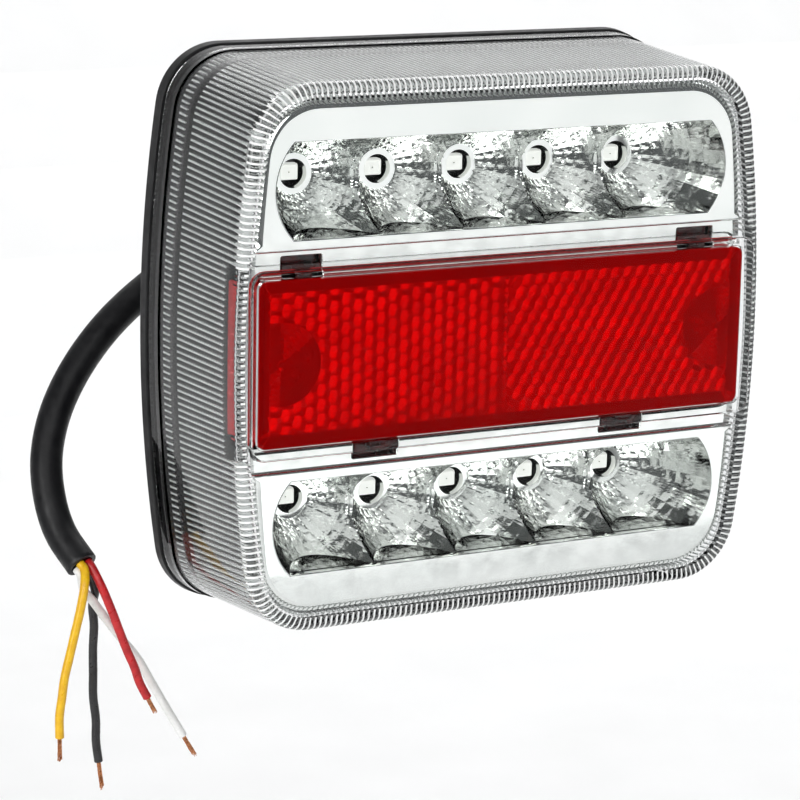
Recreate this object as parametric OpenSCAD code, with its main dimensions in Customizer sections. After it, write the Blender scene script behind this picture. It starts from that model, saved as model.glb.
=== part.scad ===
// Square LED rear lamp for a trailer, with its connection cable.
// Frame: +X right as seen from the front, +Z up, the lens faces -Y and the mounting face is the plane y = 0.
// The origin is midway between the two mounting studs. Depths are measured forward from the mounting face.

/* [Lamp body] */
// Width over the bowed sides
lamp_w = 104.5; // [98:0.5:112]
// Height
lamp_h = 98; // [94:0.5:104]
// Depth from the mounting face to the clear front face
lamp_d = 36.7; // [36:0.1:40]
// How far the left and right sides bow outwards
side_bow = 4.4; // [2:0.2:6]
// Corner radius at the mounting face
corner_r = 11.5; // [9:0.5:14]
// How much narrower the front is than the back, each side
draft_x = 1.7; // [1:0.1:2.5]
// How much lower the front is than the back, each side
draft_z = 3.2; // [2:0.1:3.6]

/* [Walls] */
// Thickness of the clear lens
lens_t = 1.6; // [1.2:0.1:2]
// Thickness of the housing floor
floor_t = 2.5; // [2:0.1:3]
// Thickness of the metallised bezel
bezel_t = 1.4; // [1:0.1:1.8]

// Half the width of the bezel at its middle
bezel_half_w = 46.2; // [45.9:0.1:46.3]
// Half the height of the bezel
bezel_half_h = 41.6; // [40.5:0.1:42]

/* [Light rows] */
// Spacing of the light sources in a row
led_pitch = 15.8; // [15.4:0.1:16]
// Height of each row's centre line above and below the middle
row_z = 28.2; // [28:0.1:29]
// Half the height of a row's window
row_half = 8; // [7.6:0.1:8.2]
// Radius of a bowl where it meets the bezel face
bowl_r = 11.5; // [11:0.1:12]
// Radius of the hole around each light source
led_hole_r = 2.5; // [2.4:0.1:2.8]

/* [Red reflector] */
// Half the width of the raised red slab
red_half_w = 46.6; // [45:0.1:47]
// Half the height of the raised red slab
red_half_h = 13.9; // [13:0.1:14.2]
// How far the clear pad over it stands out of the front face
pad_rise = 1.2; // [0.8:0.1:1.4]

/* [Mounting studs] */
// Spacing of the two studs
stud_spacing = 45; // [40:1:50]
// Radius of the plain shank, M5
stud_r = 2.5; // [2:0.5:3]
// How far the studs stand out of the mounting face
stud_out = 20; // [16:1:25]

/* [Cable] */
// Outer diameter of the sheath
sheath_d = 5.8; // [5.4:0.1:6]
// Outer diameter of each core's insulation
core_d = 1.6; // [1.4:0.1:1.6]
// Diameter of each bundle of bare strands
strand_d = 0.8; // [0.6:0.1:1]
// Height of the cable entry above the studs
entry_z = 16; // [15:0.5:17]

/* [Hidden] */
$fn = 48;
play = 0.1;

// Depths of the layers, from the mounting face forward
seal_d0 = 2.8;
seal_d1 = 3.3;
flange_d1 = 7;
tongue_d1 = 6.5;
board_d0 = 11.8;
board_d1 = 13.4;
ring_d = 16.8;
face_d = lamp_d - lens_t - 0.5;
channel_d = face_d - 1;
fillet = 1.3;
flange_step = 0.3;
cavity_inset = 2.1;
tongue_inset = 2.8;
tongue_t = 1.6;
bezel_bow = 3;
bezel_r = 9;

// Bowls
ring_r = 3.45;
bowl_steps = 4;
led_w = 3.5;
led_h = 2.8;
led_t = 1.9;
tail_led_x = 40;
tail_window_r = 4.5;

// Red reflector
channel_half_h = 18.3;
plate_d0 = 28;
plate_t = 1.4;
hook_d0 = 29.5;
hook_near = 0.8;
hook_far = 2.2;
hook_tip = 4.1;
slot_near = 0.4;
slot_far = 3.4;
upper_hook_x = 38;
lower_hook_x = 24;
upper_hook_w = 7;
lower_hook_w = 8;

// Board fixings and connections
screw_x = 30;
screw_z = 10;
screw_r = 1;
pin_off = 3;
lead_hole_r = 0.9;

// Fasteners
thread_r = 2.24;
seat_r = stud_r + 0.4;
shank_out = 3;
boss_d = 6;
boss_r = 6.5;
head_h = 3.2;
head_across = 8;
washer_t = 1;
washer_r = 5;
spring_t = 1.3;
spring_r = 4.4;
nut_h = 4;
nut_across = 8;

// Cable
grommet_out = 8;
grommet_r = 4.5;
grommet_flange_r = 6.5;
gland_d = 5.5;
sheath_end_d = 4;
sheath_sides = 12;
core_sides = 8;
lead_off = 1.1;
sheath_route = [
    [0, -sheath_end_d, 16], [0, 2, 16], [0, 8, 16], [-1.5, 16.5, 15.5], [-6, 24, 14], [-13.5, 29.5, 11.5],
    [-22, 32, 8], [-30.5, 32.5, 4], [-38.5, 31.5, -0.5], [-46, 30, -6], [-52.5, 28, -12.5],
    [-57.5, 25.5, -19.5], [-60.5, 22.5, -26.5], [-61.5, 19, -33], [-61, 15, -39], [-59, 9.5, -44]
];
sheath_tip = [-59, 9.5, -44];
sheath_out = [0.4, -1.1, -1];
yellow_at = [-0.7, -0.8, 0.6];
red_at = [0.95, -0.3, 0.7];
white_at = [-0.95, 0.3, -0.7];
black_at = [0.7, 0.8, -0.6];
yellow_route = concat([sheath_tip + yellow_at, sheath_tip + yellow_at + sheath_out], [
    [-60, 6, -47], [-61, 5.5, -51], [-62, 5.5, -55], [-63, 5.5, -59],
    [-64, 5.5, -63], [-64.5, 5.5, -66.5], [-65, 5.5, -70], [-65, 5.5, -74]
]);
red_route = concat([sheath_tip + red_at, sheath_tip + red_at + sheath_out], [
    [-56.5, 6.5, -47.5], [-55, 6, -51.5], [-53.5, 6, -55.5],
    [-52, 6, -59.5], [-50.5, 6, -63], [-49.5, 6, -66], [-48, 6, -69]
]);
white_route = concat([sheath_tip + white_at, sheath_tip + white_at + sheath_out], [
    [-59.5, 7.5, -48], [-57.5, 8, -50.5], [-55, 8.5, -54], [-52, 9, -58], [-48.5, 9.5, -62.5],
    [-46, 9.5, -67], [-43.5, 9.5, -71.5], [-41.5, 9.5, -75], [-39.5, 9.5, -78.5]
]);
black_route = concat([sheath_tip + black_at, sheath_tip + black_at + sheath_out], [
    [-57, 8.5, -48.5], [-56.5, 11, -52], [-56, 11.5, -56], [-56, 12, -60.5], [-56, 12, -65],
    [-56, 12, -69.5], [-55.5, 12, -74], [-55.5, 12, -78], [-55, 12, -82]
]);
strand_lengths = [4.5, 3.5, 5, 5.5];

// Half sizes of the drafted body at a given depth
function half_w(depth) = lamp_w / 2 - draft_x * depth / lamp_d;
function half_h(depth) = lamp_h / 2 - draft_z * depth / lamp_d;

// One quarter of a rounded rectangle whose upright side bows outwards; the corner arc starts along that side
function quarter(a, b, r, bow) =
    let (side_steps = 6, corner_steps = 6,
         tilt = atan(2 * bow * (b - r) / (b * b)),
         side_top = b - r + r * sin(tilt),
         side_x = a - bow * pow(side_top / b, 2),
         centre = [side_x - r * cos(tilt), b - r])
    concat(
        [for (i = [0:side_steps - 1]) let (z = side_top * i / side_steps) [a - bow * pow(z / b, 2), z]],
        [for (i = [0:corner_steps])
            let (turn = tilt + (90 - tilt) * i / corner_steps) centre + r * [cos(turn), sin(turn)]]
    );

// The whole outline: the quarter and its three mirror images
function outline(a, b, r, bow) =
    let (q = quarter(a, b, r, bow), last = len(q) - 1)
    concat(
        q,
        [for (i = [last:-1:0]) [-q[i].x, q[i].y]],
        [for (i = [1:last]) [-q[i].x, -q[i].y]],
        [for (i = [last:-1:1]) [q[i].x, -q[i].y]]
    );

// Flat shape of the body at a depth, moved in by inset
module body_shape(depth, inset = 0) {
    polygon(outline(half_w(depth) - inset, half_h(depth) - inset, max(corner_r - inset, 2), side_bow));
}

// Flat shape of the bezel, moved in by inset
module bezel_shape(inset = 0) {
    polygon(outline(bezel_half_w - inset, bezel_half_h - inset, bezel_r - inset, bezel_bow));
}

// The band of the bezel shape that lies within half of the middle line
module bezel_band(half) {
    intersection() {
        bezel_shape();
        square([lamp_w, 2 * half], center = true);
    }
}

// Extrudes a flat X-Z shape between two depths
module layer(near, far) {
    translate([0, -near, 0]) rotate([90, 0, 0]) linear_extrude(far - near) children();
}

// Blends the body outline between two depths
module drafted(near, far, inset_near, inset_far) {
    skin = 0.01;
    hull() {
        layer(near, near + skin) body_shape(near, inset_near);
        layer(far - skin, far) body_shape(far, inset_far);
    }
}

// A rod along Y between two depths
module rod(near, far, r) {
    layer(near, far) circle(r);
}

module at(x, z) {
    translate([x, 0, z]) children();
}

module at_studs() {
    for (side = [-1, 1]) at(side * stud_spacing / 2, 0) children();
}

module at_screws() {
    for (x = [-screw_x, screw_x], z = [-screw_z, screw_z]) at(x, z) children();
}

module at_row(z) {
    for (i = [-2:2]) at(i * led_pitch, z) children();
}

module at_pins() {
    for (x = [-pin_off, pin_off], z = [-pin_off, pin_off]) at(x, entry_z + z) children();
}

// Housing: the dark tray with stud bosses and the cable entry
module base_housing() color("dimgray") difference() {
    union() {
        layer(0, floor_t) body_shape(0);
        layer(0, seal_d0) difference() {
            body_shape(0);
            body_shape(0, tongue_inset + tongue_t);
        }
        layer(0, tongue_d1) difference() {
            body_shape(0, tongue_inset);
            body_shape(0, tongue_inset + tongue_t);
        }
        at_studs() rod(0, boss_d, boss_r);
        at(0, entry_z) rod(0, gland_d, boss_r);
    }
    at_studs() rod(-1, boss_d + 1, seat_r + play / 2);
    at(0, entry_z) rod(-1, gland_d + 1, grommet_r + play / 2);
}

// Thin ring that seals the lens flange to the housing
module lens_seal() color("black") layer(seal_d0, seal_d1) difference() {
    body_shape(0, 0.5);
    body_shape(0, cavity_inset);
}

// Clear cover: flange, drafted walls, front face and the raised pad over the red slab
module outer_lens() color("lightcyan", 0.4) difference() {
    union() {
        drafted(seal_d1, flange_d1, flange_step, flange_step);
        drafted(flange_d1 - 0.1, lamp_d - fillet, 2 * flange_step, 0);
        drafted(lamp_d - fillet - 0.1, lamp_d, 0, fillet);
        layer(lamp_d - 0.5, lamp_d + pad_rise) pad_shape(red_half_w + 1.8, red_half_h + 1.8, 2.5);
    }
    drafted(seal_d1 - 1, lamp_d - lens_t, cavity_inset, lens_t + 0.6);
    layer(face_d, lamp_d + pad_rise - lens_t) pad_shape(red_half_w + 0.3, red_half_h + 0.3, 1.5);
}

// Rectangle with rounded corners, given by its half sizes
module pad_shape(a, b, r) {
    union() {
        square([2 * (a - r), 2 * b], center = true);
        square([2 * a, 2 * (b - r)], center = true);
        for (x = [-1, 1], z = [-1, 1]) translate([x * (a - r), z * (b - r)]) circle(r);
    }
}

// Bars above and below the red slab, one at each snap hook; low and high are distances from the slab's edge
module hook_bars(near, far, low, high, grow = 0) {
    middle = red_half_h + (low + high) / 2;
    height = high - low + grow;
    for (side = [-1, 1]) layer(near, far) {
        translate([side * upper_hook_x, middle]) square([upper_hook_w + grow, height], center = true);
        translate([side * lower_hook_x, -middle]) square([lower_hook_w + grow, height], center = true);
    }
}

// Red insert: raised slab, end plates and four snap hooks with their tabs, legs and lips
module red_reflector() color("red") {
    layer(channel_d, lamp_d + pad_rise - lens_t - play) pad_shape(red_half_w, red_half_h, 1.4);
    for (side = [-1, 1]) at(side * (red_half_w - plate_t / 2), 0)
        layer(plate_d0, channel_d) square([plate_t, 2 * red_half_h - 2], center = true);
    hook_bars(channel_d, face_d, -1, hook_far);
    hook_bars(hook_d0, channel_d, hook_near, hook_far);
    hook_bars(hook_d0, channel_d - bezel_t, hook_near, hook_tip);
}

// Radius of a bowl at a depth: a paraboloid through the hole's ring and the bezel face
function bowl_at(depth) =
    sqrt(ring_r * ring_r + (bowl_r * bowl_r - ring_r * ring_r) * (depth - ring_d) / (face_d - ring_d));

// Solid of revolution under a bowl's surface, grown outwards by grow
module bowl(grow, near, far) {
    rotate([90, 0, 0]) rotate_extrude() polygon(concat(
        [[0, near]],
        [for (i = [0:bowl_steps])
            let (depth = ring_d + (face_d - ring_d) * i / bowl_steps)
            [bowl_at(depth) + grow, i == 0 ? near : (i == bowl_steps ? far : depth)]],
        [[0, far]]
    ));
}

// Part of a shape that lies in one source's share of the row
module in_cell(half) {
    intersection() {
        children();
        layer(ring_d - 5, face_d + 5) square([led_pitch, 2 * half], center = true);
    }
}

// One row of bowls: walls of even thickness, flat above and below
module bowl_row(z) {
    difference() {
        union() {
            at_row(z) in_cell(row_half + bezel_t) bowl(bezel_t, ring_d - bezel_t, face_d);
            for (side = [-1, 1]) at(2 * side * led_pitch, z)
                end_wall(side, bezel_t, row_half + bezel_t, face_d);
        }
        at_row(z) in_cell(row_half) bowl(0, ring_d, face_d + 1);
        for (side = [-1, 1]) at(2 * side * led_pitch, z) end_wall(side, 0, row_half, face_d + 1);
        at_row(z) rod(ring_d - bezel_t - 1, ring_d + 1, led_hole_r);
    }
}

// The part of an end bowl that reaches past its cell
module end_wall(side, grow, half, far) {
    intersection() {
        bowl(grow, ring_d - grow, far);
        at(side * led_pitch, 0) layer(ring_d - 5, face_d + 5) square([led_pitch, 2 * half], center = true);
    }
}

// Window outline of a row in the bezel face
module row_window(z) {
    translate([0, z]) intersection() {
        union() {
            for (i = [-2, 2]) translate([i * led_pitch, 0]) circle(bowl_r);
            square([4 * led_pitch, 2 * row_half], center = true);
        }
        square([lamp_w, 2 * row_half], center = true);
    }
}

// Metallised bezel: face, two rows of bowls, channel for the red insert, skirt and screw bosses
module reflector_bezel() color("silver") difference() {
    union() {
        layer(face_d - bezel_t, face_d) difference() {
            bezel_shape();
            row_window(row_z);
            row_window(-row_z);
            square([lamp_w, 2 * channel_half_h], center = true);
        }
        bowl_row(row_z);
        bowl_row(-row_z);
        layer(channel_d - bezel_t, channel_d) bezel_band(channel_half_h + 0.5);
        layer(floor_t, channel_d) difference() {
            bezel_shape();
            bezel_shape(bezel_t);
        }
        at_screws() rod(board_d1, channel_d - bezel_t, 3);
    }
    at_screws() rod(board_d1 - 1, board_d1 + 8, screw_r + play / 2);
    hook_bars(channel_d - bezel_t - 1, channel_d + 1, slot_near, slot_far, 0.4);
    for (side = [-1, 1]) {
        at(side * tail_led_x, 0) rod(channel_d - bezel_t - 1, channel_d + 1, tail_window_r);
        at(side * (red_half_w - plate_t - 0.3 + 5), 0)
            layer(plate_d0 - 0.3, face_d + 1) square([10, 2 * red_half_h + 0.4], center = true);
    }
}

// Circuit board with its screw and lead holes
module circuit_board() color("darkgreen") difference() {
    layer(board_d0, board_d1) bezel_shape(bezel_t + 0.4);
    at_screws() rod(board_d0 - 1, board_d1 + 1, screw_r + 0.2);
    at_pins() rod(board_d0 - 1, board_d1 + 1, lead_hole_r);
}

// White surface-mounted light source: body and a smaller emitting window
module led() {
    layer(board_d1, board_d1 + led_t - 0.3) square([led_w, led_h], center = true);
    layer(board_d1 + led_t - 0.3, board_d1 + led_t) square([led_w - 0.5, led_h - 0.5], center = true);
}

module upper_row_leds() color("white") at_row(row_z) led();

module lower_row_leds() color("white") at_row(-row_z) led();

module tail_leds() color("white") for (side = [-1, 1]) at(side * tail_led_x, 0) led();

// Series resistors beside the lead holes
module resistors() color("black") for (i = [0:5]) at(-20 + 8 * i, -4) {
    layer(board_d1, board_d1 + 0.6) square([3.2, 1.6], center = true);
}

// One reverse-polarity diode for each function
module diodes() color("dimgray") for (i = [-1:1]) at(9 * i, 5) {
    layer(board_d1, board_d1 + 2.2) square([4.3, 2.6], center = true);
}

// Pan-head screws that hold the board to the bezel's bosses
module board_screws() color("silver") at_screws() {
    rod(board_d0 - 1.4, board_d0, 2);
    rod(board_d0, board_d1 + 6, screw_r);
}

// Solder around each lead end
module solder_joints() color("silver") at_pins() rotate([90, 0, 0]) rotate_extrude() polygon([
    [core_d / 2 + play / 2, board_d1], [1.6, board_d1], [core_d / 2 + play, board_d1 + 0.8],
    [core_d / 2 + play / 2, board_d1 + 0.8]
]);

// Tube swept along a route: one ring of corners per point, square to the route there.
// Each ring's first corner is carried on from the ring before, so the tube doesn't twist.
function unit(v) = v / norm(v);
function heading(route, i) = unit(route[min(i + 1, len(route) - 1)] - route[max(i - 1, 0)]);
function side_of(route, i) =
    let (dir = heading(route, i), guess = i == 0 ? [1, 0, 0] : side_of(route, i - 1))
    unit(guess - (guess * dir) * dir);
function ring(route, i, r, sides) =
    let (u = side_of(route, i), v = cross(heading(route, i), u))
    [for (k = [0:sides - 1]) route[i] + r * (cos(360 * k / sides) * u + sin(360 * k / sides) * v)];

module tube(route, d, sides) {
    last = len(route) - 1;
    points = [for (i = [0:last]) each ring(route, i, d / 2, sides)];
    walls = [for (i = [0:last - 1], k = [0:sides - 1])
        let (a = i * sides + k, b = i * sides + (k + 1) % sides)
        each [[a, a + sides, b + sides], [a, b + sides, b]]];
    caps = [[for (k = [0:sides - 1]) k], [for (k = [sides - 1:-1:0]) last * sides + k]];
    polyhedron(points, concat(walls, caps));
}

// Core ends inside the lamp, from the sheath's end through the board
function lead_route(x, z) = [
    [x * lead_off, -sheath_end_d, entry_z + z * lead_off],
    [x * lead_off, -gland_d, entry_z + z * lead_off],
    [x * pin_off, -board_d0 + 1, entry_z + z * pin_off],
    [x * pin_off, -board_d1 - 0.8, entry_z + z * pin_off]
];

module inner_lead_yellow() color("gold") tube(lead_route(-1, 1), core_d, core_sides);

module inner_lead_red() color("red") tube(lead_route(1, 1), core_d, core_sides);

module inner_lead_white() color("white") tube(lead_route(-1, -1), core_d, core_sides);

module inner_lead_black() color("black") tube(lead_route(1, -1), core_d, core_sides);

// Rubber grommet: body in the housing with a shoulder for the sheath, flange and a short tapered sleeve
module cable_grommet() color("black") at(0, entry_z) rotate([90, 0, 0]) rotate_extrude() polygon([
    [sheath_d / 2 + play / 2, -grommet_out], [sheath_d / 2 + 0.9, -grommet_out],
    [grommet_flange_r - 1.6, -1.5], [grommet_flange_r, -1.2], [grommet_flange_r, 0], [grommet_r, 0],
    [grommet_r, gland_d], [sheath_d / 2 - 0.45, gland_d], [sheath_d / 2 - 0.45, sheath_end_d],
    [sheath_d / 2 + play / 2, sheath_end_d]
]);

module cable_sheath() color("black") tube(sheath_route, sheath_d, sheath_sides);

module core_yellow() color("gold") tube(yellow_route, core_d, core_sides);

module core_red() color("red") tube(red_route, core_d, core_sides);

module core_white() color("white") tube(white_route, core_d, core_sides);

module core_black() color("black") tube(black_route, core_d, core_sides);

// Stripped strands at the four far ends, straight on from each core
module bare_strands() color("chocolate") {
    routes = [yellow_route, red_route, white_route, black_route];
    for (i = [0:3]) let (last = len(routes[i]) - 1, start = routes[i][last])
        tube([start, start + strand_lengths[i] * heading(routes[i], last)], strand_d, core_sides);
}

// Studs: hexagon head and thicker seat in the housing, plain shank, thread drawn at its pitch radius
module mounting_studs() color("silver") at_studs() {
    layer(boss_d, boss_d + head_h) circle(head_across / 2 / cos(30), $fn = 6);
    rod(0, boss_d, seat_r);
    rod(-shank_out, 0, stud_r);
    rod(-stud_out, -shank_out, thread_r);
}

module flat_washers() color("silver") at_studs() difference() {
    rod(-shank_out - washer_t, -shank_out, washer_r);
    rod(-shank_out - washer_t - 1, -shank_out + 1, thread_r + 0.4);
}

// Split spring washers, with their gap
module spring_washers() color("silver") at_studs() difference() {
    rod(-shank_out - washer_t - spring_t, -shank_out - washer_t, spring_r);
    rod(-shank_out - washer_t - spring_t - 1, -shank_out - washer_t + 1, thread_r + 0.4);
    translate([spring_r, shank_out + washer_t, 0]) cube([2 * spring_r, 4 * spring_t, 0.7], center = true);
}

module stud_nuts() color("silver") at_studs() {
    start = shank_out + washer_t + spring_t;
    difference() {
        layer(-start - nut_h, -start) circle(nut_across / 2 / cos(30), $fn = 6);
        rod(-start - nut_h - 1, -start + 1, thread_r + play / 2);
    }
}

base_housing();
lens_seal();
outer_lens();
red_reflector();
reflector_bezel();
circuit_board();
upper_row_leds();
lower_row_leds();
tail_leds();
resistors();
diodes();
board_screws();
solder_joints();
inner_lead_yellow();
inner_lead_red();
inner_lead_white();
inner_lead_black();
cable_grommet();
cable_sheath();
core_yellow();
core_red();
core_white();
core_black();
bare_strands();
mounting_studs();
flat_washers();
spring_washers();
stud_nuts();
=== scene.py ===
import math
import random

import bmesh
import bpy
from mathutils import Matrix, Vector, geometry


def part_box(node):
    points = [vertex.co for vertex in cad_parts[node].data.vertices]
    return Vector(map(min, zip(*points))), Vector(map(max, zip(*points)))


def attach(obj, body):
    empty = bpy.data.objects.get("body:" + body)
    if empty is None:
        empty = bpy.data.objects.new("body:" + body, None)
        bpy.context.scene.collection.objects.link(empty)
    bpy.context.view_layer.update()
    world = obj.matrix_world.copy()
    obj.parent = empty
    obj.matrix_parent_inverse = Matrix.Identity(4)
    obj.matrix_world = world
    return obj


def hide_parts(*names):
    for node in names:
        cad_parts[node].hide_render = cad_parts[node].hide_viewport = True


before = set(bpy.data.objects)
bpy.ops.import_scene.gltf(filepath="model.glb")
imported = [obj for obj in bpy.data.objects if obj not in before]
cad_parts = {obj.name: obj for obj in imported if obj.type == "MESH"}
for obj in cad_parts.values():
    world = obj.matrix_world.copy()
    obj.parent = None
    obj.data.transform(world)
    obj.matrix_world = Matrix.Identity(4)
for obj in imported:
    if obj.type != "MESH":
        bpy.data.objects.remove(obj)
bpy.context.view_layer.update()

# Lengths in this script are millimetres unless a name or comment says otherwise: x to the right,
# depth in front of the mounting face, z up. MM turns them into the frame's metres.
MM = 0.001
RNG = random.Random(7)

# Main sizes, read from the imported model
_, HOUSING_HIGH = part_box("base_housing")
LENS_LOW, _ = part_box("outer_lens")
_, BEZEL_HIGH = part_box("reflector_bezel")
SLAB_LOW, SLAB_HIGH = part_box("red_reflector")
BOARD_LOW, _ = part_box("circuit_board")
BODY_A = HOUSING_HIGH.x / MM
BODY_B = HOUSING_HIGH.z / MM
PAD_FRONT = -LENS_LOW.y / MM
BEZEL_A = BEZEL_HIGH.x / MM
BEZEL_B = BEZEL_HIGH.z / MM
SLAB_FRONT = -SLAB_LOW.y / MM
SLAB_A = SLAB_HIGH.x / MM
BOARD_FRONT = -BOARD_LOW.y / MM

# The body's shape: draft, bow and corner of its sides
PAD_RISE = 1.2
LAMP_D = PAD_FRONT - PAD_RISE
DRAFT_X = 1.7
DRAFT_Z = 3.2
CORNER_R = 11.5
SIDE_BOW = 4.4
LENS_T = 1.6
FACE_D = LAMP_D - LENS_T - 0.5
INNER_FACE = LAMP_D - LENS_T
CHANNEL_D = FACE_D - 1
CHANNEL_HALF = 18.3
BEZEL_T = 1.4
BEZEL_R = 9
BEZEL_BOW = 3
SEAL_D = (2.8, 3.3)
FLANGE_D = 7
SLAB_B = 13.9

# Height of the floor, in metres
FLOOR_Z = -0.3

# Bowls of the two light rows
LED_PITCH = 15.8
ROW_Z = 28.2
ROW_HALF = 8
BOWL_R = 11.5
RING_R = 3.45
HOLE_R = 2.5
RING_D = 16.8
TAIL_X = 40

# Columns of the body's outline in one quarter: side, corner and top, as flutes and samples of each
FLUTES = (34, 15, 36)
FLUTE_SAMPLES = 6
RIDGE = (0, 0, 0.2, 1, 0.2, 0)
GROOVE = (0, 0.1, 0.85, 1, 0.85, 0.1)
GROOVE_H = 0.06
# Samples from which the steps of a crest start; these steps take a painted highlight
CRESTS = (2, 3)
COARSE = (24, 16, 24)

# Where the body's wall lies beside the red band's ends, and where its front edge lies beside the pad
BAND_END = 40
BAND_HALF = 15.8
PAD_GUARD = 17.5

# Refractive index of the clear and red plastics
PLASTIC_IOR = 1.56


# ---------------------------------------------------------------- camera, light and floor

def make_camera():
    data = bpy.data.cameras.new("camera")
    data.lens = 135
    data.sensor_width = 36
    data.clip_end = 20
    data.clip_start = 0.01
    camera = bpy.data.objects.new("camera", data)
    right = Vector((0.88545, -0.46432, 0.01952))
    up = Vector((0.0873, 0.20743, 0.97435))
    view = Vector((0.45646, 0.86103, -0.22421))
    turn = Matrix((right, up, -view)).transposed().to_4x4()
    camera.matrix_world = Matrix.Translation((-0.24855, -0.46659, 0.10429)) @ turn
    bpy.context.scene.collection.objects.link(camera)
    bpy.context.scene.camera = camera
    bpy.context.scene.view_settings.view_transform = "Standard"


def softbox(name, place, target, width, height, radiance):
    """Rectangular area light, in metres."""
    data = bpy.data.lights.new(name, "AREA")
    data.shape = "RECTANGLE"
    data.size = width
    data.size_y = height
    data.energy = radiance * math.pi * width * height
    light = bpy.data.objects.new(name, data)
    place = Vector(place)
    turn = (Vector(target) - place).to_track_quat("-Z", "Y")
    light.matrix_world = Matrix.Translation(place) @ turn.to_matrix().to_4x4()
    bpy.context.scene.collection.objects.link(light)


def make_lights():
    world = bpy.data.worlds.new("studio")
    world.use_nodes = True
    background = world.node_tree.nodes["Background"]
    background.inputs["Color"].default_value = (0.62, 0.64, 0.66, 1)
    background.inputs["Strength"].default_value = 0.2
    bpy.context.scene.world = world
    softbox("key", (-0.5, -1.0, 0.45), (0, 0, 0), 0.8, 0.7, 3.6)
    softbox("fill_high", (0.46, -0.83, -0.02), (0.46, 0, -0.02), 0.6, 0.26, 0.9)
    softbox("fill_low", (0.46, -0.83, -0.264), (0.46, 0, -0.264), 0.6, 0.062, 0.9)
    softbox("top", (0.15, 0.1, 0.95), (0, 0, 0), 0.8, 0.6, 0.2)
    softbox("left", (-0.9, -0.4, 0.2), (0, 0, 0), 0.34, 0.7, 6.5)
    softbox("backdrop", (0.9, 0.9, 1.7), (0.9, 1.2, -0.3), 1.8, 1.2, 5.0)


def make_floor():
    """Pale sweep, in metres: floor, curve and upright back."""
    shell = Shell()
    bend = 0.6
    bend_y = 0.9
    profile = [(-3, FLOOR_Z), (bend_y, FLOOR_Z)]
    profile += [(bend_y + bend * (1 - drop), FLOOR_Z + bend * inset) for inset, drop in rounding(12, 1)]
    profile.append((bend_y + bend, 2.2))
    rows = [[shell.bm.verts.new((x, y, z)) for x in (-3, -1, 0, 1, 3)] for y, z in profile]
    for low, high in zip(rows, rows[1:]):
        for i in range(len(low) - 1):
            shell.bm.faces.new((low[i], low[i + 1], high[i + 1], high[i]))
    floor = shell.link("backdrop", paper_material())


# ---------------------------------------------------------------- outlines

def polar(r, turn, x=0, z=0):
    """Point at distance r and angle turn from (x, z)."""
    return x + r * math.cos(turn), z + r * math.sin(turn)


def placed(x, z, loop):
    """A loop with its centre moved to (x, z)."""
    return [(x + px, z + pz) for px, pz in loop]


def between(a, b, share):
    """The point that lies share of the way from a to b."""
    return a[0] + (b[0] - a[0]) * share, a[1] + (b[1] - a[1]) * share


def rounding(steps, start=0):
    """(inset, drop) of a quarter-round edge of radius 1, from its side to its front."""
    turns = [math.pi / 2 * i / steps for i in range(start, steps + 1)]
    return [(1 - math.cos(turn), 1 - math.sin(turn)) for turn in turns]


def half_sizes(depth):
    """Half width and half height of the lamp's body at a depth."""
    return BODY_A - DRAFT_X * depth / LAMP_D, BODY_B - DRAFT_Z * depth / LAMP_D


def quarter(a, b, r, bow, counts):
    """First quarter of a rounded rectangle with a bowed side, from the side's middle to the top's."""
    sides, corners, tops = counts
    tilt = math.atan(2 * bow * (b - r) / (b * b))
    side_top = b - r + r * math.sin(tilt)
    side_x = a - bow * (side_top / b) ** 2
    centre_x = side_x - r * math.cos(tilt)
    points = []
    for i in range(sides):
        z = side_top * i / sides
        points.append((a - bow * (z / b) ** 2, z))
    for i in range(corners):
        turn = tilt + (math.pi / 2 - tilt) * i / corners
        points.append(polar(r, turn, centre_x, b - r))
    for i in range(tops):
        points.append((centre_x * (1 - i / tops), b))
    points.append((0, b))
    return points


def mirrored(points):
    """A whole loop from its first quarter."""
    last = len(points) - 1
    loop = list(points)
    loop += [(-points[i][0], points[i][1]) for i in range(last - 1, -1, -1)]
    loop += [(-points[i][0], -points[i][1]) for i in range(1, last + 1)]
    loop += [(points[i][0], -points[i][1]) for i in range(last - 1, 0, -1)]
    return loop


def body_loop(depth, inset, counts):
    a, b = half_sizes(depth)
    return mirrored(quarter(a - inset, b - inset, max(CORNER_R - inset, 2), SIDE_BOW, counts))


def bezel_loop(inset, counts):
    return mirrored(quarter(BEZEL_A - inset, BEZEL_B - inset, BEZEL_R - inset, BEZEL_BOW, counts))


def beside_band(x, z):
    """Whether a point of the wall lies next to an end of the red band."""
    return abs(x) > BAND_END and abs(z) < BAND_HALF


def fluted_loop(depth, inset, height, shape=RIDGE, smooth_middle=False):
    """The body's outline with flutes that reach height further in, if asked with none beside the band."""
    counts = [n * FLUTE_SAMPLES for n in FLUTES]
    plain = body_loop(depth, inset, counts)
    if height == 0:
        return plain
    deep = body_loop(depth, inset + height, counts)
    last = sum(counts)
    loop = []
    for i, (p, q) in enumerate(zip(plain, deep)):
        step = i % (2 * last)
        share = shape[min(step, 2 * last - step) % FLUTE_SAMPLES]
        if smooth_middle and beside_band(*p):
            share = 0
        loop.append(between(p, q, share))
    return loop


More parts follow.
